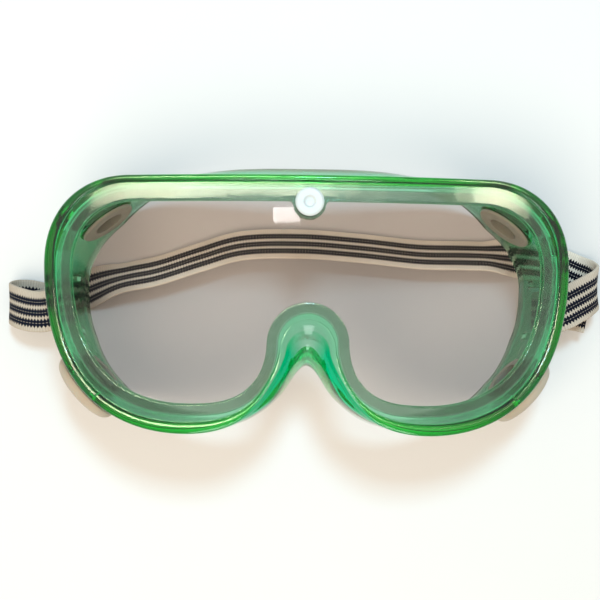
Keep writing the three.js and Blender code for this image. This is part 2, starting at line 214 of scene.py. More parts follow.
def clear_lens():
    """Clear polycarbonate, its warm grey tint a painted shade, with a shine on its outer faces and a few
    faint wipe marks.
    """
    made, tree, output = material("clear polycarbonate")
    wipes = noise(tree, 60, 4, 0.7)
    rough = mapped(tree, wipes, 0.35, 0.75, 0.0, 0.06)
    shine = add_node(tree, "ShaderNodeBsdfGlossy", None, Color=(1, 1, 1, 1), Roughness=rough)
    # the tint paints shade over what is seen through the lens
    clear = add_node(tree, "ShaderNodeBsdfTransparent", Color=LENS_TINT_AND_SHADE)
    mirrored = add_node(tree, "ShaderNodeFresnel", IOR=LENS_IOR).outputs[0]
    inside = add_node(tree, "ShaderNodeNewGeometry").outputs["Backfacing"]
    outside = math_node(tree, "SUBTRACT", 1.0, inside)
    mirrored = math_node(tree, "MULTIPLY", mirrored, outside)
    mix = add_node(tree, "ShaderNodeMixShader", None, i0=mirrored, i1=clear.outputs[0], i2=shine.outputs[0])
    tree.links.new(mix.outputs[0], output.inputs["Surface"])
    return made


def moulded(name, light, dark, roughness):
    """Opaque moulded plastic with a slightly uneven colour and a fine spark-eroded grain."""
    made, tree, output = material(name)
    patches = noise(tree, 55.0, 3, 0.6)
    grain = noise(tree, 1800, 2, 0.6)
    colour = mixed(tree, mapped(tree, patches, 0.3, 0.7, 0, 1), (*light, 1), (*dark, 1))
    rough = mapped(tree, patches, 0.3, 0.7, roughness, roughness + 0.12)
    shader = add_node(
        tree, "ShaderNodeBsdfPrincipled", None, Base_Color=colour, Roughness=rough, IOR=1.5,
        Subsurface_Weight=0.08, Subsurface_Scale=0.002, Normal=bump(tree, grain, 0.15, 0.0002),
    )
    tree.links.new(shader.outputs[0], output.inputs["Surface"])
    return made


WEAVE_MAP = "weave"  # the headband's map: metres along it, share of its width from its upper edge
STRIPE_CENTRES = (0.275, 0.535, 0.785)
STRIPE_HALF = 0.098
STRIPE_EDGES = (STRIPE_HALF - 0.044, STRIPE_HALF + 0.019)  # between and at the points of its zigzag
STRIPE_SPLIT = (0.012, -0.004)  # half the line of paler stitches down its middle, in the same way
THREAD_BLUR = 0.004
ZIGZAG_PITCH = 0.0010
PICK_PITCH = 0.0007
BAND_LIT_MIDDLE = 0.17  # metres along it, the middle of the stretch behind the lens that is painted lighter: painted light against the shade there
# the cream painted lighter along the middle stretch, as painted light; the plain cream is used elsewhere
CREAM_PAINTED_LIGHT = ((0.8, 0.75, 0.66, 1), (0.7, 0.65, 0.56, 1))
CREAM_PLAIN = ((0.44, 0.39, 0.335, 1), (0.37, 0.325, 0.27, 1))
NAVY = ((0.004, 0.006, 0.014, 1), (0.01, 0.013, 0.026, 1))


def woven_elastic():
    """Cream elastic with three zigzag-edged navy stripes, each split by a paler line of stitches. Painted
    light makes the cream lighter along the middle stretch behind the lens; painted shade darkens the
    weave's hollows."""
    made, tree, output = material("woven elastic")
    uv = add_node(tree, "ShaderNodeUVMap", {"uv_map": WEAVE_MAP}).outputs["UV"]
    split = add_node(tree, "ShaderNodeSeparateXYZ", None, Vector=uv)
    along, across = split.outputs["X"], split.outputs["Y"]

    def wave(pitch):
        """A triangle wave along the band, from 0 to 1."""
        half = math_node(tree, "PINGPONG", math_node(tree, "DIVIDE", along, pitch), 0.5)
        return math_node(tree, "MULTIPLY", half, 2.0)

    zigzag = wave(ZIGZAG_PITCH)
    navy = None
    for centre in STRIPE_CENTRES:
        away = distance_from(tree, across, centre)
        edge = mapped(tree, zigzag, 0, 1, *STRIPE_EDGES)
        inside = math_node(tree, "SUBTRACT", edge, away)
        inside = mapped(tree, inside, -THREAD_BLUR, THREAD_BLUR, 0, 1)
        off_middle = math_node(tree, "SUBTRACT", away, mapped(tree, zigzag, 0, 1, *STRIPE_SPLIT))
        off_middle = mapped(tree, off_middle, -THREAD_BLUR, THREAD_BLUR, 0.35, 1)
        stripe = math_node(tree, "MULTIPLY", inside, off_middle)
        navy = stripe if navy is None else math_node(tree, "MAXIMUM", navy, stripe)

    yarn = noise(tree, 2500, 2, 0.6)
    soil = noise(tree, 60, 3, 0.6)
    pick = wave(PICK_PITCH)
    # painted light: the cream is lighter along the middle stretch behind the lens and plain towards the
    # loops
    off_lit_middle = mapped(tree, distance_from(tree, along, BAND_LIT_MIDDLE), 0.07, 0.1, 0, 1)
    soiled = mapped(tree, soil, 0.3, 0.75, 0, 1)
    cream = mixed(tree, off_lit_middle, mixed(tree, soiled, *CREAM_PAINTED_LIGHT), mixed(tree, soiled, *CREAM_PLAIN))
    dark = mixed(tree, yarn, *NAVY)
    base = mixed(tree, navy, cream, dark)
    # painted shade: the weave is darker where its relief is low, in the hollows between picks, with random
    # yarn tone
    painted_hollow_shade = mapped(tree, math_node(tree, "ADD", pick, yarn), 0.2, 1.6, 0.8, 1.08)
    shaded_base = add_node(tree, "ShaderNodeVectorMath", {"operation": "SCALE"}, i0=base, Scale=painted_hollow_shade).outputs[0]
    picks = math_node(tree, "MULTIPLY", pick, 0.6)
    yarns = math_node(tree, "MULTIPLY", yarn, 0.5)
    relief = math_node(tree, "ADD", picks, yarns)
    shader = add_node(
        tree, "ShaderNodeBsdfPrincipled", None, Base_Color=shaded_base, Roughness=0.9, Specular_IOR_Level=0.2,
        Sheen_Weight=0.03, Sheen_Roughness=0.5, Normal=bump(tree, relief, 0.6, 0.00025),
    )
    tree.links.new(shader.outputs[0], output.inputs["Surface"])
    return made


MATERIALS = {
    "pvc": vinyl(),
    "clear_lens": clear_lens(),
    "stud": moulded("white moulded plastic", (0.54, 0.58, 0.59), (0.48, 0.52, 0.53), 0.3),
    "vent": moulded("tan moulded plastic", (0.42, 0.38, 0.31), (0.35, 0.31, 0.25), 0.38),
    "elastic": woven_elastic(),
}
RETAINER_PLASTIC = moulded("grey moulded plastic", (0.37, 0.38, 0.32), (0.31, 0.32, 0.27), 0.4)


# ---- Meshes ----


def to_row(points):
    """Drawn millimetres to metres in the row frame."""
    return (np.asarray(points, float) - (0, MIDDLE, 0)) * MM


def new_piece(name, vertices, faces):
    """An object from points in drawn millimetres."""
    mesh = bpy.data.meshes.new(name)
    mesh.from_pydata(to_row(vertices).tolist(), [], faces)
    mesh.validate()
    piece = bpy.data.objects.new(name, mesh)
    bpy.context.scene.collection.objects.link(piece)
    return piece


def finish_piece(piece, body, slot, *nodes, crease=38, look=None):
    """Smooth shading with creases kept, material, body, and the CAD nodes it stands for. look is its
    material, if it isn't the slot's own."""
    mesh = piece.data
    mesh.shade_smooth()
    mesh.set_sharp_from_angle(angle=math.radians(crease))
    mesh.materials.clear()
    mesh.materials.append(look or MATERIALS[slot])
    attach(piece, body)
    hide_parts(*nodes)
    return piece


def combined(piece, tools):
    """piece with each (operation, tool) joined or cut, and the tools removed."""
    for operation, tool in tools:
        modifier = piece.modifiers.new("join", "BOOLEAN")
        modifier.operation = operation
        modifier.solver = "MANIFOLD"
        modifier.object = tool
    bpy.context.view_layer.update()
    solid = piece.evaluated_get(bpy.context.evaluated_depsgraph_get())
    mesh = bpy.data.meshes.new_from_object(solid)
    piece.modifiers.clear()
    piece.data = mesh
    for _, tool in tools:
        bpy.data.objects.remove(tool)
    return piece


def ring_faces(rings, around, closed):
    """The faces between rings of points, and from the last ring to the first if closed."""
    faces = []
    for i in range(rings if closed else rings - 1):
        a, b = i * around, (i + 1) % rings * around
        for j in range(around):
            k = (j + 1) % around
            faces.append((a + j, b + j, b + k, a + k))
    return faces


def quadratic(a, b, c, t):
    """The point at t on the Bezier curve from a to c, with b as its handle."""
    return (1 - t) ** 2 * a + 2 * t * (1 - t) * b + t * t * c


def cubic(a, b, c, d, t):
    """The point at t on the Bezier curve from a to d, with b and c as its handles."""
    return (1 - t) ** 3 * a + 3 * (1 - t) ** 2 * t * b + 3 * (1 - t) * t**2 * c + t**3 * d


CORNER_STEPS = 4


def softened(points, radius, closed=False):
    """A flat outline or profile with its corners rounded, ends left as they are."""
    points = [np.array(p, float) for p in points]
    out = []
    for i, corner in enumerate(points):
        if not closed and i in (0, len(points) - 1):
            out.append(corner)
            continue
        before, after = points[i - 1] - corner, points[(i + 1) % len(points)] - corner
        reach = min(radius, 0.45 * np.linalg.norm(before), 0.45 * np.linalg.norm(after))
        start = corner + before / np.linalg.norm(before) * reach
        end = corner + after / np.linalg.norm(after) * reach
        for t in np.linspace(0, 1, CORNER_STEPS + 1):
            out.append(quadratic(start, corner, end, t))
    return out


TURNED_SIDES = 96


def turned(profile, radius, closed=False):
    """The vertices and faces of a turned piece along +Z, from (radius, height) points, bottom to top.
    radius is that of its soft corners, and closed says that its profile closes on itself."""
    points = softened(profile, radius, closed=closed)
    vertices, rows = [], []
    for r, z in points:
        if r < 1e-6:
            rows.append([len(vertices)] * TURNED_SIDES)
            vertices.append((0, 0, z))
        else:
            rows.append(list(range(len(vertices), len(vertices) + TURNED_SIDES)))
            turns = np.arange(TURNED_SIDES) / TURNED_SIDES * 2 * math.pi
            vertices.extend((r * math.cos(a), r * math.sin(a), z) for a in turns)
    faces = []
    pairs = list(zip(rows, rows[1:])) + ([(rows[-1], rows[0])] if closed else [])
    for low, high in pairs:
        for j in range(TURNED_SIDES):
            k = (j + 1) % TURNED_SIDES
            corners = [low[j], low[k], high[k], high[j]]
            faces.append(tuple(dict.fromkeys(corners)))
    return vertices, faces


def placed(matrix, vertices):
    """Points moved by a 4 by 4 matrix in drawn millimetres."""
    points = np.asarray(vertices, float)
    return points @ np.array(matrix.to_3x3()).T + np.array(matrix.translation)


def turned_piece(name, profile, matrix, radius=0.0, closed=False):
    """A turned piece, as of turned(), moved by a matrix in drawn millimetres."""
    vertices, faces = turned(profile, radius, closed)
    return new_piece(name, placed(matrix, vertices), faces)


def soft_box(name, low, high, radius):
    """A box with rounded edges, in drawn millimetres."""
    shape = bmesh.new()
    bmesh.ops.create_cube(shape, size=1)
    middle, size = (np.array(low) + high) / 2, np.array(high, float) - low
    for vertex in shape.verts:
        vertex.co = Vector(middle + np.array(vertex.co) * size)
    bmesh.ops.bevel(shape, geom=shape.edges[:], offset=radius, segments=4, profile=0.5, affect="EDGES")
    vertices = [tuple(v.co) for v in shape.verts]
    faces = [tuple(v.index for v in f.verts) for f in shape.faces]
    shape.free()
    return new_piece(name, vertices, faces)


def prism(name, outline_points, low, high):
    """An upright prism over a flat outline."""
    count = len(outline_points)
    vertices = [(x, y, z) for z in (low, high) for x, y in outline_points]
    faces = [tuple(range(count))[::-1], tuple(range(count, 2 * count))]
    faces += [(i, (i + 1) % count, (i + 1) % count + count, i + count) for i in range(count)]
    return new_piece(name, vertices, faces)


# ---- Outlines and surfaces ----


def heading(degrees):
    """The direction at that angle from +X."""
    return np.array([math.cos(math.radians(degrees)), math.sin(math.radians(degrees))])


def outline(nodes):
    """A closed outline, mirrored left to right, from the top centre round the right side to the nose.
    Nodes are [x, y, heading in degrees, pull leaving, pull arriving]."""
    half = [np.array([nodes[0][:2]], float)]
    for start, end, steps in zip(nodes, nodes[1:], STATIONS):
        first, last = np.array(start[:2], float), np.array(end[:2], float)
        chord = np.linalg.norm(last - first)
        leaving = first + heading(start[2]) * end[3] * chord
        arriving = last - heading(end[2]) * end[4] * chord
        t = (np.arange(1, steps * FINENESS + 1) / (steps * FINENESS))[:, None]
        half.append(cubic(first, leaving, arriving, last, t))
    half = np.vstack(half)
    return np.vstack([half, half[-2:0:-1] * (-1, 1)])


def eased(values):
    """A value given at each node of an outline, eased between them round the whole outline."""
    half = [values[0]]
    for a, b, steps in zip(values, values[1:], STATIONS):
        k = np.arange(1, steps * FINENESS + 1) / (steps * FINENESS)
        half.extend(a + (b - a) * k * k * (3 - 2 * k))
    return np.array(half + half[-2:0:-1])


def outward(points):
    """The outward direction of an outline at each station."""
    along = np.roll(points, -1, axis=0) - np.roll(points, 1, axis=0)
    normal = np.column_stack([-along[:, 1], along[:, 0]])
    return normal / np.linalg.norm(normal, axis=1)[:, None]


RIM = outline([
    [0, 40.1, 0],
    [56, 40.1, 0, 0.33, 0.33],
    [83.5, 13, -90, 0.42, 0.43],
    [38.5, -39.4, -180, 0.51, 0.37],
    [10.9, -25, -240, 0.34, 0.43],
    [5.4, -14, -260, 0.34, 0.22],
    [0, -10, -180, 0.4, 0.4],
])
BEAD = outline([
    [0, 38, 0],
    [55.5, 38, 0, 0.33, 0.33],
    [79.9, 13, -90, 0.42, 0.43],
    [38.5, -35.9, -180, 0.53, 0.38],
    [12.8, -24, -240, 0.34, 0.43],
    [8.6, -13, -266, 0.34, 0.3],
    [0, -3.9, -180, 0.39, 0.39],
])
OPENING = outline([
    [0, 32.3, 0],
    [54, 32.3, 0, 0.33, 0.33],
    [74.6, 12, -90, 0.42, 0.43],
    [38, -30.4, -180, 0.53, 0.37],
    [15.2, -21.5, -238, 0.41, 0.39],
    [12.6, -11.5, -270, 0.3, 0.3],
    [0, 1.3, -180, 0.39, 0.39],
])
BACK = outline([
    [0, 45.7, 0],
    [48, 41.4, -18, 0.33, 0.33],
    [78.5, 7, -90, 0.29, 0.34],
    [34, -40.4, -180, 0.5, 0.42],
    [9.2, -30, -225, 0.46, 0.38],
    [4, -22.6, -236, 0.34, 0.34],
    [0, -19, -180, 0.33, 0.26],
])
FLARE = eased([4, 1.1, 1, 1.6, 0.25, 0.3, 0.45])
BEAD_SHARE = eased([1, 1, 1, 1, 1, 0.35, 0])
BRIDGE_DROP = eased([0, 0, 0, 0, 0.3, 2.6, 4.8])
BRIDGE_STEP = eased([0, 0, 0, 0, 0, 0.5, 1])
# how strong the painted deeper green, a painted shade, is at each node
PAINTED_DEPTH_SHARE = eased([0.15, 0.3, 0.8, 0.6, 1, 1, 0.4])
RIM_OUTWARD = outward(RIM)
OPENING_OUTWARD = outward(OPENING)
LENS_EDGE = OPENING + OPENING_OUTWARD * LENS_GRIP
GROOVE_FLOOR = OPENING + OPENING_OUTWARD * (LENS_GRIP + GROOVE_PLAY)


def front_height(x):
    """The height of the front's crest."""
    return FRONT_HEIGHT - FRONT_RADIUS + np.sqrt(FRONT_RADIUS**2 - np.square(x))


def back_height(x, y):
    """The height of the edge that touches the face."""
    radius = (FACE_HALF_SPAN**2 + BROW_HEIGHT**2) / (2 * BROW_HEIGHT)
    face = np.sqrt(radius**2 - np.square(x)) - radius + BROW_HEIGHT
    nose = np.where(y < 0, NOSE_RISE * np.exp(-np.square(x / NOSE_SPREAD)), 0)
    along = np.minimum(1, np.abs(y - SIDE_RECESS_Y) / SIDE_RECESS_HALF)
    side = SIDE_RECESS_RISE * (1 - along**4)
    return np.maximum(0, np.maximum(face + nose, side))


# ---- Frame ----

LIP_TOP = BEAD_HEIGHT  # depths below the front's crest
LIP_BACK = LIP_TOP + LIP
REAR_TOP = LIP_BACK + GROOVE
REAR_BACK = REAR_TOP + REAR_LIP
LIP_SLOPE = 0.45  # the front lip falls away by this much towards the bead
RIM_DROP = 0.6  # the bead's outer foot lies this far below the lip
BEAD_ARC = (math.pi * 0.94, math.pi * 0.04, 15)  # angles of its inner and outer foot, and points over it
BEAD_FULLNESS = 0.8  # below 1 makes its section squarer than an ellipse
BEAD_PAINTED_DEPTH_FROM = 0.6  # the share of its width from which the bead is painted a deeper green, as painted shade
BRIDGE_CURVE = 1.8  # above 1 keeps the bead's inner side up where its outer side drops at the nose
BRIDGE_UNDER = 0.6  # the share of that drop that the rear lip's outer edge follows
OUTER_WALL = np.linspace(0.02, 0.96, 30) ** 1.5  # shares of the way down the wall, closer near the top
INNER_WALL = np.linspace(0.95, 0.24, 20)  # shares of the way down it, from the bottom up
INNER_WALL_TOP = 0.2
ROUNDING = np.linspace(0, 1, 6)  # the points over a rounded corner


def on_front(plan, drop):
    """Points that far below the front's crest, over an outline."""
    return np.column_stack([plan, front_height(plan[:, 0]) - drop])


def frame_rings():
    """The frame's section at every station, (stations, points, 3), and how strongly it is painted a deeper
    green there.
    """
    corners, radii, outer = [], [], []

    def corner(points, radius=0.0):
        corners.append(points)
        radii.append(radius)

    crest = BEAD_HEIGHT * BEAD_SHARE
    slide = BRIDGE_DROP - BRIDGE_STEP
    corner(on_front(OPENING, LIP_BACK), 0.35)
    corner(on_front(OPENING, LIP_TOP), 0.45)
    corner(on_front(BEAD, LIP_TOP + LIP_SLOPE * BEAD_SHARE), 0.3)
    for angle in np.linspace(*BEAD_ARC):
        share = 0.5 + 0.5 * math.cos(angle)
        top = math.sin(angle) ** BEAD_FULLNESS
        low = np.where(share < 0.5, LIP_SLOPE * BEAD_SHARE, RIM_DROP)
        drop = LIP_TOP + low - (crest + low) * top + BRIDGE_STEP + slide * share**BRIDGE_CURVE
        corner(on_front(BEAD + (RIM - BEAD) * share, drop))
        if share > BEAD_PAINTED_DEPTH_FROM:
            outer.append(len(corners) - 1)

    edge = front_height(RIM[:, 0]) - LIP_TOP - RIM_DROP - BRIDGE_DROP
    foot = back_height(BACK[:, 0], BACK[:, 1])

    def wall(share, inset):
        plan = RIM + (BACK - RIM) * (share**FLARE)[:, None] - RIM_OUTWARD * inset
        return np.column_stack([plan, edge + (foot + EDGE_ROUND - edge) * share])

    for share in OUTER_WALL:
        corner(wall(share, 0))
        outer.append(len(corners) - 1)
    for inset in (0, EDGE_THICKNESS):
        corner(np.column_stack([BACK - RIM_OUTWARD * inset, foot]), 1.3)
    for share in INNER_WALL:
        corner(wall(share, WALL + (EDGE_THICKNESS - WALL) * share**4))
    inside = wall(INNER_WALL_TOP, WALL)
    inside[:, 2] = front_height(inside[:, 0]) - REAR_BACK - BRIDGE_DROP * BRIDGE_UNDER
    corner(inside, 1.2)
    corner(on_front(OPENING, REAR_BACK), 0.4)
    corner(on_front(OPENING, REAR_TOP), 0.4)
    corner(on_front(GROOVE_FLOOR, REAR_TOP), 0.2)
    corner(on_front(GROOVE_FLOOR, LIP_BACK), 0.2)

    corners = np.stack(corners, axis=1)
    before = np.roll(corners, 1, axis=1) - corners
    after = np.roll(corners, -1, axis=1) - corners
    rings, painted_depth = [], []
    for j, radius in enumerate(radii):
        here = corners[:, j]
        if radius == 0:
            rings.append(here)
            painted_depth.append(PAINTED_DEPTH_SHARE * (j in outer))
            continue
        start, end = (
            here + way * np.minimum(radius / np.linalg.norm(way, axis=1), 0.45)[:, None]
            for way in (before[:, j], after[:, j])
        )
        for t in ROUNDING:
            rings.append(quadratic(start, here, end, t))
            painted_depth.append(0 * PAINTED_DEPTH_SHARE)
    return np.stack(rings, axis=1), np.stack(painted_depth, axis=1)


TONGUE_ROOT_Y = 32.6
TONGUE_INSET = 0.04  # from the faces of the lip that it grows from


def tongue_outline():
    """The rounded tongue round the press-stud, with filleted roots."""
    side = math.pi / 8
    root = TONGUE_ROOT_Y
    x = TONGUE_RADIUS * math.cos(side)
    y = STUD_Y - TONGUE_RADIUS * math.sin(side)
    start, handle, end = np.array([-TONGUE_ROOT, root]), np.array([-x, root]), np.array([-x, y])
    fillet = [quadratic(start, handle, end, t) for t in np.linspace(0, 1, 9)]
    arc = [
        np.array([TONGUE_RADIUS * math.cos(a), STUD_Y + TONGUE_RADIUS * math.sin(a)])
        for a in np.linspace(math.pi + side, 2 * math.pi - side, 33)[1:-1]
    ]
    points = [np.array([-TONGUE_ROOT, root + 1]), *fillet, *arc]
    points += [p * (-1, 1) for p in fillet[::-1]] + [np.array([TONGUE_ROOT, root + 1])]
    return points


def tongues():
    """The tongues of the front lip and of the rear lip."""
    for low, high in ((LIP_TOP, LIP_BACK), (REAR_TOP, REAR_BACK)):
        top, bottom = FRONT_HEIGHT - (low + TONGUE_INSET), FRONT_HEIGHT - (high - TONGUE_INSET)
        yield prism("tongue", tongue_outline(), bottom, top)


def stud_hole():
    """The cutter of the press-stud's hole through the tongues and the lens."""
    low, high = FRONT_HEIGHT - 18, FRONT_HEIGHT + 2
    profile = [(0, low), (STUD_HOLE, low), (STUD_HOLE, high), (0, high)]
    return turned_piece("hole", profile, Matrix.Translation((0, STUD_Y, 0)))


LUG_ROUND = 0.7


def lug_pieces(side):
    """The loop on a side wall that the headband is threaded through: a bar and two posts."""
    low, high = LUG_Z - LUG_HEIGHT / 2, LUG_Z + LUG_HEIGHT / 2
    reach = LUG_OPENING / 2 + LUG_POST

    def box(name, x, y):
        xs = sorted((side * x[0], side * x[1]))
        return soft_box(name, (xs[0], y[0], low), (xs[1], y[1], high), LUG_ROUND)

    yield box("lug bar", (LUG_BAR, LUG_OUT), (LUG_Y - reach, LUG_Y + reach))
    yield box("lug post", (LUG_LOWER_FOOT, LUG_OUT), (LUG_Y - reach, LUG_Y - reach + LUG_POST))
    yield box("lug post", (LUG_UPPER_FOOT, LUG_OUT), (LUG_Y + reach - LUG_POST, LUG_Y + reach))


def vent_matrix(level, side):
    """From a vent's own axes (Z out of the wall, origin at the face of its boss) to the drawn ones."""
    vent = VENTS[level]
    angle = vent["angle"] if side > 0 else 180 - vent["angle"]
    flat = Vector((*heading(angle), 0))
    across = Vector((-flat.y, flat.x, 0))
    out = Matrix.Rotation(math.radians(vent["tilt"]), 3, across) @ flat
    up = out.cross(across)
    centre = flat * vent["reach"] + across * side * vent["shift"]
    centre.z = vent["height"]
    matrix = Matrix((across, up, out)).transposed().to_4x4()
    matrix.translation = centre
    return matrix


VENT_PLACES = {
    f"{level}_{hand}": vent_matrix(level, side)
    for level in VENTS
    for hand, side in (("right", 1), ("left", -1))
}


INSERT_JOINT = {"y": (33.2, 37), "width": 0.35, "depth": 0.3}
PARTING_MARK = {"start": (60.5, -24.4), "end": (65.8, -28.6), "width": 0.5, "depth": 0.9}
PAD = {"x": (75.8, 80.2), "y": (17, 23.2), "z": (34.6, 38.8), "round": 0.4}


def groove(name, start, end, width, depth):
    """The cutter of a shallow groove in the front of the rim, from start to end on the plan."""
    start, end = np.array(start, float), np.array(end, float)
    side = np.array([start[1] - end[1], end[0] - start[0]])
    side *= width / 2 / np.linalg.norm(side)
    low = front_height((start[0] + end[0]) / 2) - LIP_TOP - depth
    return prism(name, [start - side, end - side, end + side, start + side], low, FRONT_HEIGHT + 4)


def frame_details():
    """Marks left by the mould, and the pads under the rear lip at the sides."""
    joint, mark = INSERT_JOINT, PARTING_MARK
    for x in INSERT_JOINTS:
        ends = [(x, y) for y in joint["y"]]
        yield "DIFFERENCE", groove("insert joint", *ends, joint["width"], joint["depth"])
    for side in (1, -1):
        ends = [(side * x, y) for x, y in (mark["start"], mark["end"])]
        yield "DIFFERENCE", groove("parting mark", *ends, mark["width"], mark["depth"])
        xs = sorted(side * x for x in PAD["x"])
        low, high = zip(xs, PAD["y"], PAD["z"])
        yield "UNION", soft_box("pad", low, high, PAD["round"])


BORE_RUN_OUT = 4  # past both ends of the boss


def frame_piece():
    """The section's rings joined into one body, with all that is joined to it and cut from it."""
    rings, painted_depth = frame_rings()
    stations, around = rings.shape[:2]
    piece = new_piece("frame_vinyl", rings.reshape(-1, 3), ring_faces(stations, around, True))
    # the painted deeper green of the outer sides, a painted shade, kept as a map on the mesh
    painted_depth_map = piece.data.attributes.new(PAINTED_DEPTH_MAP, "FLOAT", "POINT")
    painted_depth_map.data.foreach_set("value", painted_depth.ravel().astype(np.float32))
    tools = [("UNION", tongue) for tongue in tongues()]
    tools.append(("DIFFERENCE", stud_hole()))
    for side in (1, -1):
        tools += [("UNION", tool) for tool in lug_pieces(side)]
    tools += frame_details()
    for place, matrix in VENT_PLACES.items():
        level = place.split("_")[0]
        depth, radius = BOSS_DEPTH[level], BOSS[level]
        boss = [(0, -depth), (radius, -depth), (radius, 0), (0, 0)]
        start, end = -depth - BORE_RUN_OUT, BORE_RUN_OUT
        bore = [(0, start), (BORE, start), (BORE, end), (0, end)]
        tools.append(("UNION", turned_piece("boss", boss, matrix, radius=0.5)))
        tools.append(("DIFFERENCE", turned_piece("bore", bore, matrix)))
    combined(piece, tools)
    piece.visible_diffuse = False  # keeps its green light off the table
    return finish_piece(piece, "root", "pvc", "frame", crease=40)


# ---- Lens ----

SHEET_HALF_WIDTH, SHEET_HALF_DEPTH = 84, 50  # of the sheet that the lens is cut from


def lens_piece():
    """A sheet bent to the front's radius, cut to the groove's outline and holed for the stud."""
    top = LIP_BACK + LENS_PLAY
    xs = np.linspace(-SHEET_HALF_WIDTH, SHEET_HALF_WIDTH, 2 * SHEET_HALF_WIDTH + 1)
    heights = front_height(xs) - top
    profile = list(zip(xs, heights)) + list(zip(xs[::-1], heights[::-1] - LENS))
    count = len(profile)
    vertices = [(x, y, z) for y in (-SHEET_HALF_DEPTH, SHEET_HALF_DEPTH) for x, z in profile]
    faces = [(i, (i + 1) % count, (i + 1) % count + count, i + count) for i in range(count)]
    half = count // 2
    for k in range(half - 1):
        quad = (k, k + 1, count - 2 - k, count - 1 - k)
        faces.append(quad[::-1])
        faces.append(tuple(i + count for i in quad))
    piece = new_piece("lens_clear", vertices, [f[::-1] for f in faces])
    edge = prism("edge", LENS_EDGE[::-1], FRONT_HEIGHT - 28, FRONT_HEIGHT + 12)
    combined(piece, [("INTERSECT", edge), ("DIFFERENCE", stud_hole())])
    return finish_piece(piece, "root", "clear_lens", "lens", crease=30)


# ---- Press-stud ----

LIP_HEIGHT = FRONT_HEIGHT - LIP_TOP
REAR_FACE = FRONT_HEIGHT - REAR_BACK
STUD_HEAD_HEIGHT = 1.2
STUD_REACH = 2.4  # of its stem past the rear tongue
STUD_DIMPLE, STUD_DIMPLE_FLOOR = 1.9, 1.4
SOCKET_RADIUS, SOCKET_HEIGHT, SOCKET_CHAMFER = 4.3, 1.8, (0.4, 0.5)


def stud_pieces():
    """The press-stud's head and stem, and the ring behind the rear tongue that the stem snaps into."""
    place = Matrix.Translation((0, STUD_Y, 0))
    under = LIP_HEIGHT + GAP
    top = under + STUD_HEAD_HEIGHT
    cap = [
        (0, REAR_FACE - STUD_REACH),
        (STUD_STEM - 0.4, REAR_FACE - STUD_REACH),
        (STUD_STEM, REAR_FACE - 1.8),
        (STUD_STEM, under),
        (STUD_HEAD, under),
        (STUD_HEAD, top - 0.5),
        (STUD_HEAD - 0.7, top),
        (STUD_DIMPLE, top),
        (STUD_DIMPLE_FLOOR, top - 0.6),
        (0, top - 0.75),
    ]
    piece = turned_piece("lens_stud_head", cap, place, radius=0.3)
    finish_piece(piece, "lens_stud", "stud", "lens_stud", crease=60)
    high = REAR_FACE - GAP
    low = high - SOCKET_HEIGHT
    socket = [
        (STUD_HOLE, low),
        (SOCKET_RADIUS - SOCKET_CHAMFER[0], low),
        (SOCKET_RADIUS, low + SOCKET_CHAMFER[1]),
        (SOCKET_RADIUS, high),
        (STUD_HOLE, high),
    ]
    piece = turned_piece("lens_stud_ring", socket, place, radius=0.2, closed=True)
    finish_piece(piece, "root", "stud", "lens_stud_socket", crease=60)


# ---- Vents ----

SPINDLE, SPINDLE_END = 1.6, -2.4
CAP_SKIRT = 0.2  # the gap between its skirt and the face of the boss
TUBE_WALL, TUBE_END = 1.2, 1.2
HUB, HUB_START, HUB_END = 3, -5.4, 1.2
HUB_SOCKET = (-3, 2)
BAR_END, BAR_HALF = -4, 0.6
BOX_FACES = [(3, 2, 1, 0), (4, 5, 6, 7), (0, 1, 5, 4), (1, 2, 6, 5), (2, 3, 7, 6), (3, 0, 4, 7)]


def cap_profile():
    """A shallow dome over a skirt, with a spindle behind it, in the vent's own axes."""
    skirt = CAP_SKIRT
    return [
        (0, SPINDLE_END),
        (SPINDLE, SPINDLE_END),
        (SPINDLE, CAP_HEIGHT - 1.4),
        (CAP - 2, CAP_HEIGHT - 1.4),
        (CAP - 1.5, CAP_HEIGHT - 2.1),
        (CAP - 1.5, skirt),
        (CAP, skirt),
        (CAP, CAP_HEIGHT - 2.6),
        (CAP - 0.9, CAP_HEIGHT - 1.2),
        (CAP - 3, CAP_HEIGHT - 0.3),
        (CAP - 5, CAP_HEIGHT),
        (0, CAP_HEIGHT),
    ]


def retainer_piece(name, matrix, depth, flange):
    """A flanged tube in the bore with a central socket for the cap, carried on three bars."""
    seat = -depth - GAP
    tube = BORE - GAP
    ring = [
        (tube - TUBE_WALL, seat - 1),
        (flange - 0.4, seat - 1),
        (flange, seat - 0.6),
        (flange, seat),
        (tube, seat),
        (tube, TUBE_END),
        (tube - TUBE_WALL, TUBE_END),
    ]
    piece = turned_piece(name, ring, matrix, radius=0.25, closed=True)
    hub = [(0, HUB_START), (HUB, HUB_START), (HUB, HUB_END), (0, HUB_END)]
    tools = [("UNION", turned_piece("hub", hub, matrix, radius=0.25))]
    half = tube - TUBE_WALL / 2
    plan = [(-half, -BAR_HALF), (half, -BAR_HALF), (half, BAR_HALF), (-half, BAR_HALF)]
    corners = [(x, y, z) for z in (HUB_START, BAR_END) for x, y in plan]
    for k in range(3):
        turn = matrix @ Matrix.Rotation(math.pi * k / 3, 4, "Z")
        tools.append(("UNION", new_piece("bar", placed(turn, corners), BOX_FACES)))
    radius, (start, end) = SPINDLE + GAP, HUB_SOCKET
    socket = [(0, start), (radius, start), (radius, end), (0, end)]
    tools.append(("DIFFERENCE", turned_piece("socket", socket, matrix)))
    return combined(piece, tools)


def vent_pieces():
    """Each vent's cap outside, which pulls off, and its retainer inside."""
    for place, matrix in VENT_PLACES.items():
        body = "vent_cap_" + place
        level = place.split("_")[0]
        cap = turned_piece("vent_cap_shell_" + place, cap_profile(), matrix, radius=0.6)
        finish_piece(cap, body, "vent", "vent_cap_" + place, crease=60)
        retainer = retainer_piece("vent_ring_" + place, matrix, BOSS_DEPTH[level], RETAINER[level])
        finish_piece(retainer, "root", "vent", "vent_retainer_" + place, look=RETAINER_PLASTIC)


# ---- Headband ----

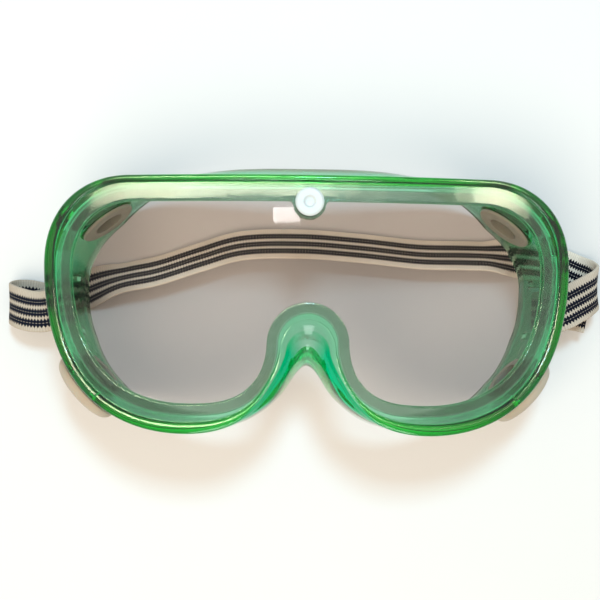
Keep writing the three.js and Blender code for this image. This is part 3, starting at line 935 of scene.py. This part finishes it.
# The band's middle line, from the tail of its left end to the tail of its right end: in through each
# lug from below, over the bar, out to the fold, back under the side wall and across. Behind the lens
# it leans, its lower edge raised.
BAND_ROUTE = [
    (-94, -2.6, 6.2), (-90, -2.1, 7.8), (-86, -1.6, 8.3), (-82, -1.3, 8.9), (-80.6, -1.2, 12),
    (-82, -1.3, 15.1), (-85.2, -1.9, 15.6), (-89.5, -2.8, 15), (-94.5, -2.5, 13.8), (-99, -1.3, 11.4),
    (-101.9, 0, 7), (-100.4, 1.2, 2.8), (-96.6, 1.2, 1.1), (-92.5, 0.4, 1), (-88.5, 0.2, 1),
    (-84.5, 1.6, 1), (-80.5, 3.6, 1.1), (-76.5, 5.3, 1.5), (-72, 6.9, 3.2), (-67, 8.4, 4.9),
    (-61.2, 9.8, 5.7), (-51.7, 11.8, 6), (-36.7, 16.7, 7), (-22.8, 20.8, 7.6), (-1.9, 21.8, 7.6),
    (19.1, 20.6, 7), (40.3, 18.7, 6), (54.4, 18.6, 5.6), (62, 18.5, 5.6), (68.7, 18.3, 4.2),
    (73, 18.2, 2.2), (77, 17.9, 1.1), (85.5, 16.6, 1), (91, 14.6, 1.3), (96, 12.4, 2.1),
    (99.6, 10.8, 4.6), (101.2, 9, 8.8), (100, 6.9, 12.6), (96.4, 4.6, 15.2), (92, 2.2, 16.2),
    (88.4, 0.2, 16.3), (85.2, -1.1, 15.6), (82, -1.3, 15.1), (80.6, -1.2, 12), (82, -1, 8.9),
    (86, -0.6, 8.3), (90.4, -0.1, 8.1), (95, -0.4, 8), (99, -1.2, 7.8),
]
BAND_STEP = 0.5
BAND_CORDS = 24  # the ridges along it
BAND_RELIEF = 0.09
BAND_EDGE = 0.12  # half its thickness at its very edge


def smooth_route(points):
    """Evenly spaced points on a centripetal Catmull-Rom curve."""
    p = np.array(points, float)
    p = np.vstack([2 * p[0] - p[1], p, 2 * p[-1] - p[-2]])
    line = []
    for a, b, c, d in zip(p, p[1:], p[2:], p[3:]):
        u, v, w = (math.sqrt(np.linalg.norm(e)) for e in (b - a, c - b, d - c))
        leaving = ((b - a) / u - (c - a) / (u + v) + (c - b) / v) * v
        arriving = ((c - b) / v - (d - b) / (v + w) + (d - c) / w) * v
        t = np.arange(40)[:, None] / 40
        line.append(
            b
            + leaving * t
            + (3 * (c - b) - 2 * leaving - arriving) * t**2
            + (2 * (b - c) + leaving + arriving) * t**3
        )
    line = np.vstack([*line, p[-2]])
    run = np.concatenate([[0], np.cumsum(np.linalg.norm(np.diff(line, axis=0), axis=1))])
    wanted = np.linspace(0, run[-1], round(run[-1] / BAND_STEP) + 1)
    return np.column_stack([np.interp(wanted, run, line[:, k]) for k in range(3)]), wanted


def band_section():
    """The band's section: (share across from the upper edge, height) points round it."""
    half = BAND_THICKNESS / 2
    shares = np.linspace(0.012, 0.988, 4 * BAND_CORDS + 1)
    relief = BAND_RELIEF * (1 - np.abs(np.sin(math.pi * BAND_CORDS * shares)))
    edge = np.minimum(1, np.minimum(shares, 1 - shares) / 0.05) ** 0.5
    heights = (half - relief) * (0.45 + 0.55 * edge)
    top = list(zip(shares, heights))
    bottom = [(share, -height) for share, height in top[::-1]]
    return [(0, BAND_EDGE), *top, (1, BAND_EDGE), (1, -BAND_EDGE), *bottom, (0, -BAND_EDGE)]


def headband_piece():
    """The band's section carried along its route, turned to lean where it lies behind the lens."""
    line, run = smooth_route(BAND_ROUTE)
    along = np.gradient(line, axis=0)
    along /= np.linalg.norm(along, axis=1)[:, None]
    up = np.array([0, 1, 0])
    across = up - along * (along @ up)[:, None]
    across /= np.linalg.norm(across, axis=1)[:, None]
    past = np.abs(line[:, 0]) - BAND_LEANS_TO
    flat = np.clip(past / (BAND_FLAT_FROM - BAND_LEANS_TO), 0, 1)
    lean = np.radians(BAND_LEAN * (1 - flat * flat * (3 - 2 * flat)))[:, None]
    across = across * np.cos(lean) - np.cross(along, across) * np.sin(lean)
    through = np.cross(along, across)
    section = band_section()
    rings = [line + across * (0.5 - share) * BAND_WIDTH + through * height for share, height in section]
    rings = np.stack(rings, axis=1)
    count, around = rings.shape[:2]
    faces = ring_faces(count, around, False)
    faces += [tuple(range(around))[::-1], tuple(range((count - 1) * around, count * around))]
    piece = new_piece("headband_woven", rings.reshape(-1, 3), faces)
    layer = piece.data.uv_layers.new(name=WEAVE_MAP)
    corners = np.empty(len(piece.data.loops), int)
    piece.data.loops.foreach_get("vertex_index", corners)
    shares = np.array([share for share, _ in section])
    uv = np.column_stack([run[corners // around] * MM, shares[corners % around]])
    layer.data.foreach_set("uv", uv.ravel().astype(np.float32))
    return finish_piece(piece, "root", "elastic", "headband", crease=60)


# ---- Stage ----

GLARE = {  # brightness of the bright wall's strips, from its middle to each end
    -1: (0.5, 0.55, 0.6, 0.7, 0.8, 0.8, 0.8, 0.7, 0.6, 0.4),
    1: (0.4, 0.25, 0.12, 0.06, 0.04, 0.06, 0.3, 0.85, 1.0, 0.9, 0.6),
}
GLARE_STEP = 0.08
GLARE_Y = (0.14, 0.7)
GLARE_RADIANCE = 24
GLARE_COLOUR = (1.0, 0.96, 0.7)
DAYLIGHT = (0.95, 0.98, 1.0)
PANEL_HEIGHT = 0.75
FLOOR_COLOURS = ((0.575, 0.57, 0.575, 1), (0.605, 0.6, 0.6, 1))
FLOOR_HALF = 2.0
FLOOR_DROP = 0.0002  # keeps it clear of the frame's underside
SKY_COLOUR, SKY_STRENGTH = (1.0, 0.925, 0.82, 1), 0.72
CAMERA_HEIGHT, CAMERA_X = 388, -9  # drawn millimetres
CAMERA_LENS, CAMERA_SENSOR = 65.508, 36  # millimetres
CAMERA_ROLL = 0.7  # degrees
CAMERA_TILT = (0.00575, -0.01935)  # radians about its own X and Y


def camera():
    """The photo's view: from straight above, a little rolled and tilted."""
    data = bpy.data.cameras.new("camera")
    data.lens = CAMERA_LENS
    data.sensor_width = CAMERA_SENSOR
    view = bpy.data.objects.new("camera", data)
    bpy.context.scene.collection.objects.link(view)
    roll = Matrix.Rotation(math.radians(CAMERA_ROLL), 4, "Z")
    tilt = Matrix.Rotation(CAMERA_TILT[0], 4, "X") @ Matrix.Rotation(CAMERA_TILT[1], 4, "Y")
    place = Vector((CAMERA_X, -MIDDLE, CAMERA_HEIGHT)) * MM
    view.matrix_world = Matrix.Translation(place) @ roll @ tilt
    bpy.context.scene.camera = view


def softbox(name, place, size, power, colour):
    """A rectangular lamp at that place, aimed at the origin."""
    data = bpy.data.lights.new(name, "AREA")
    data.shape = "RECTANGLE"
    data.size, data.size_y = size
    data.energy = power
    data.color = colour
    lamp = bpy.data.objects.new(name, data)
    bpy.context.scene.collection.objects.link(lamp)
    lamp.location = place
    lamp.rotation_euler = (-Vector(place)).to_track_quat("-Z", "Y").to_euler()
    return lamp


def floor():
    """A pale tabletop, faintly uneven in tone."""
    made, tree, output = material("pale tabletop")
    tone = noise(tree, 9, 3, 0.6)
    colour = mixed(tree, tone, *FLOOR_COLOURS)
    shader = add_node(tree, "ShaderNodeBsdfPrincipled", None, Base_Color=colour, Roughness=0.7)
    tree.links.new(shader.outputs[0], output.inputs["Surface"])
    half = FLOOR_HALF
    corners = [(-half, -half, 0), (half, -half, 0), (half, half, 0), (-half, half, 0)]
    mesh = bpy.data.meshes.new("floor")
    mesh.from_pydata(corners, [], [(0, 1, 2, 3)])
    mesh.materials.append(made)
    plane = bpy.data.objects.new("floor", mesh)
    bpy.context.scene.collection.objects.link(plane)
    plane.location.z = -FLOOR_DROP


def world():
    """Even, slightly warm light from all round."""
    made = bpy.data.worlds.new("studio")
    made.use_nodes = True
    background = made.node_tree.nodes["Background"]
    background.inputs["Color"].default_value = SKY_COLOUR
    background.inputs["Strength"].default_value = SKY_STRENGTH
    bpy.context.scene.world = made


def mirrored_only(lamp, radiance, piece):
    """Makes a lamp show only mirrored in that piece, at that radiance, and light nothing."""
    mirrors = bpy.data.collections.new(lamp.name)
    mirrors.objects.link(piece)
    lamp.light_linking.receiver_collection = mirrors
    lamp.data.energy = radiance * math.pi * lamp.data.size * lamp.data.size_y
    lamp.visible_diffuse = False
    lamp.visible_transmission = False
    lamp.visible_volume_scatter = False


def reflected_panel(name, piece, x, y, radiance, colour):
    """A level panel over the table, between those x and y, that only shows mirrored in that piece."""
    place = ((x[0] + x[1]) / 2, (y[0] + y[1]) / 2, PANEL_HEIGHT)
    panel = softbox(name, place, (x[1] - x[0], y[1] - y[0]), 1, colour)
    panel.rotation_euler = (0, 0, 0)
    mirrored_only(panel, radiance, piece)


green_frame = frame_piece()
clear_sheet = lens_piece()
stud_pieces()
vent_pieces()
headband_piece()

camera()
softbox("key", (0.04, 0.33, 0.8), (0.14, 0.14), 3.7, (0.45, 0.8, 1.0))
fill = softbox("soft fill", (-0.25, -0.3, 0.85), (0.7, 0.6), 5.6, (1.0, 0.9, 0.74))
fill.visible_glossy = False
fill.visible_transmission = False
reflected_panel("window", clear_sheet, (-0.083, -0.007), (0.077, 0.091), 28, DAYLIGHT)
mirrored_only(softbox("bridge light", (0, -0.5, 0.25), (0.3, 0.44), 1, DAYLIGHT), 5, green_frame)
for side, shares in GLARE.items():
    for k, share in enumerate(shares):
        x = sorted((side * k * GLARE_STEP, side * (k + 1) * GLARE_STEP))
        reflected_panel("bright wall", green_frame, x, GLARE_Y, share * GLARE_RADIANCE, GLARE_COLOUR)
floor()
world()
bpy.context.scene.view_settings.view_transform = "Standard"
bpy.context.scene.view_settings.look = "Medium High Contrast"
